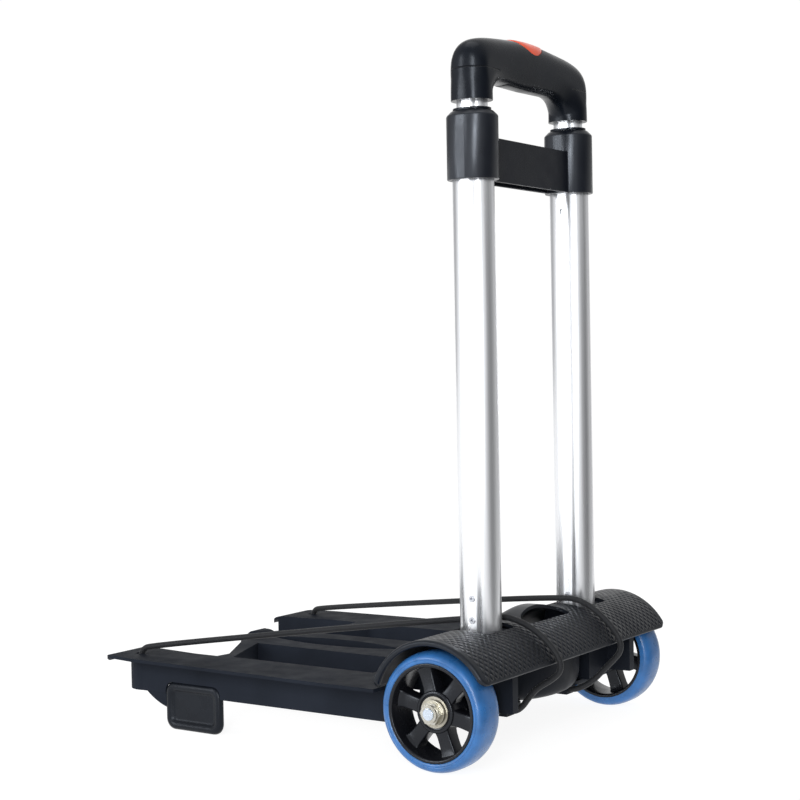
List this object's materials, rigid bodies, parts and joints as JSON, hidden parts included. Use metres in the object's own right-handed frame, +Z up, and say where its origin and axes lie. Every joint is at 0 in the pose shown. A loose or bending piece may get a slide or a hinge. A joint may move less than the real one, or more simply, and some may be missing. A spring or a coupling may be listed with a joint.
{
  "type": "folding luggage cart",
  "caption": "Folding luggage cart with a fold-up slatted platform, wheels under an arched housing, elastic cords and a telescopic handle with a release button.",
  "frame": {"origin": "on the floor, under the middle of the cart's length and width, the cords left out", "axes": "+Z up, -Y towards the platform's tips, +X across the cart along the axle"},
  "size_m": [0.34, 0.445, 0.617],
  "materials": {
    "fender_plastic": "textured black polypropylene",
    "housing_plastic": "moulded black polypropylene",
    "gloss_plastic": "semi-gloss black ABS",
    "nylon": "black nylon",
    "tube_aluminium": "satin anodised",
    "rivet_aluminium": "plain rivet",
    "zinc_steel": "zinc plated",
    "spring_steel": "spring wire",
    "button_plastic": "orange-red ABS",
    "bar_plastic": "moulded nylon",
    "tyre_blue": "glossy blue polyurethane",
    "rim_plastic": "black nylon",
    "deck_plastic": "fine-grained black polypropylene",
    "cord_rubber": "braided black elastic"
  },
  "bodies": {
    "frame": {"fender_housing": "fender_plastic", "belly_cover": "housing_plastic", "collar_bridge": "gloss_plastic", "tube_rivets": "rivet_aluminium", "axle": "zinc_steel", "axle_spacers": "zinc_steel", "axle_washers": "zinc_steel", "axle_lock_nuts": "zinc_steel", "deck_hinge_pins": "zinc_steel", "axle_bracket_left": "housing_plastic", "axle_bracket_right": "housing_plastic", "cord_anchor_left": "housing_plastic", "cord_anchor_right": "housing_plastic", "outer_tube_left": "tube_aluminium", "outer_tube_right": "tube_aluminium", "tube_plug_left": "housing_plastic", "tube_plug_right": "housing_plastic", "outer_guide_left": "nylon", "outer_guide_right": "nylon", "cord_left": "cord_rubber", "cord_right": "cord_rubber"},
    "deck": {"deck": "deck_plastic", "foot_left": "deck_plastic", "foot_right": "deck_plastic", "cord_knot_left": "cord_rubber", "cord_knot_right": "cord_rubber"},
    "middle_stage": {"middle_tube_left": "tube_aluminium", "middle_tube_right": "tube_aluminium", "middle_cap_left": "gloss_plastic", "middle_cap_right": "gloss_plastic", "middle_guide_left": "nylon", "middle_guide_right": "nylon", "middle_lock_block_left": "nylon", "middle_lock_block_right": "nylon"},
    "handle": {"grip_shell": "gloss_plastic", "grip_underplate": "gloss_plastic", "button_springs": "spring_steel", "inner_tube_left": "tube_aluminium", "inner_tube_right": "tube_aluminium", "inner_lock_block_left": "nylon", "inner_lock_block_right": "nylon", "grip_leg_left": "gloss_plastic", "grip_leg_right": "gloss_plastic"},
    "button": {"release_button": "button_plastic", "release_bar": "bar_plastic", "release_rod_left": "zinc_steel", "release_rod_right": "zinc_steel"},
    "wheel_left": {"tyre_left": "tyre_blue", "rim_left": "rim_plastic", "bearings_left": "zinc_steel"},
    "middle_pin_left": {"middle_lock_pin_left": "zinc_steel"},
    "inner_pin_left": {"inner_lock_pin_left": "zinc_steel"},
    "wheel_right": {"tyre_right": "tyre_blue", "rim_right": "rim_plastic", "bearings_right": "zinc_steel"},
    "middle_pin_right": {"middle_lock_pin_right": "zinc_steel"},
    "inner_pin_right": {"inner_lock_pin_right": "zinc_steel"}
  },
  "joints": [
    {"name": "deck_fold", "type": "hinge", "parent": "frame", "child": "deck", "pos_m": [0, 0.09577, 0.058], "axis": [-1, 0, 0], "range_deg": [0, 90], "deforming": ["cord_left", "cord_right"]},
    {"name": "middle_slide", "type": "slide", "parent": "frame", "child": "middle_stage", "axis": [0, 0, 1], "range_m": [0, 0.19]},
    {"name": "inner_slide", "type": "slide", "parent": "middle_stage", "child": "handle", "axis": [0, 0, 1], "range_m": [0, 0.19]},
    {"name": "button_press", "type": "slide", "parent": "handle", "child": "button", "axis": [0, 0, -1], "range_m": [0, 0.0035], "stiffness_N_per_m": 500, "springref_m": -0.006, "deforming": ["button_springs"]},
    {"name": "wheel_spin_left", "type": "hinge", "parent": "frame", "child": "wheel_left", "pos_m": [-0.1509, 0.16577, 0.05], "axis": [1, 0, 0], "continuous": true},
    {"name": "middle_pin_pull_left", "type": "slide", "parent": "middle_stage", "child": "middle_pin_left", "axis": [-1, 0, 0], "range_m": [0, 0.0028]},
    {"name": "inner_pin_pull_left", "type": "slide", "parent": "handle", "child": "inner_pin_left", "axis": [-1, 0, 0], "range_m": [0, 0.0028]},
    {"name": "wheel_spin_right", "type": "hinge", "parent": "frame", "child": "wheel_right", "pos_m": [0.1509, 0.16577, 0.05], "axis": [1, 0, 0], "continuous": true},
    {"name": "middle_pin_pull_right", "type": "slide", "parent": "middle_stage", "child": "middle_pin_right", "axis": [1, 0, 0], "range_m": [0, 0.0028]},
    {"name": "inner_pin_pull_right", "type": "slide", "parent": "handle", "child": "inner_pin_right", "axis": [1, 0, 0], "range_m": [0, 0.0028]}
  ],
  "couplings": [
    {"joint": "middle_pin_pull_left", "follows": "button_press", "ratio": 0.8},
    {"joint": "middle_pin_pull_right", "follows": "button_press", "ratio": 0.8},
    {"joint": "inner_pin_pull_left", "follows": "button_press", "ratio": 0.8},
    {"joint": "inner_pin_pull_right", "follows": "button_press", "ratio": 0.8}
  ]
}
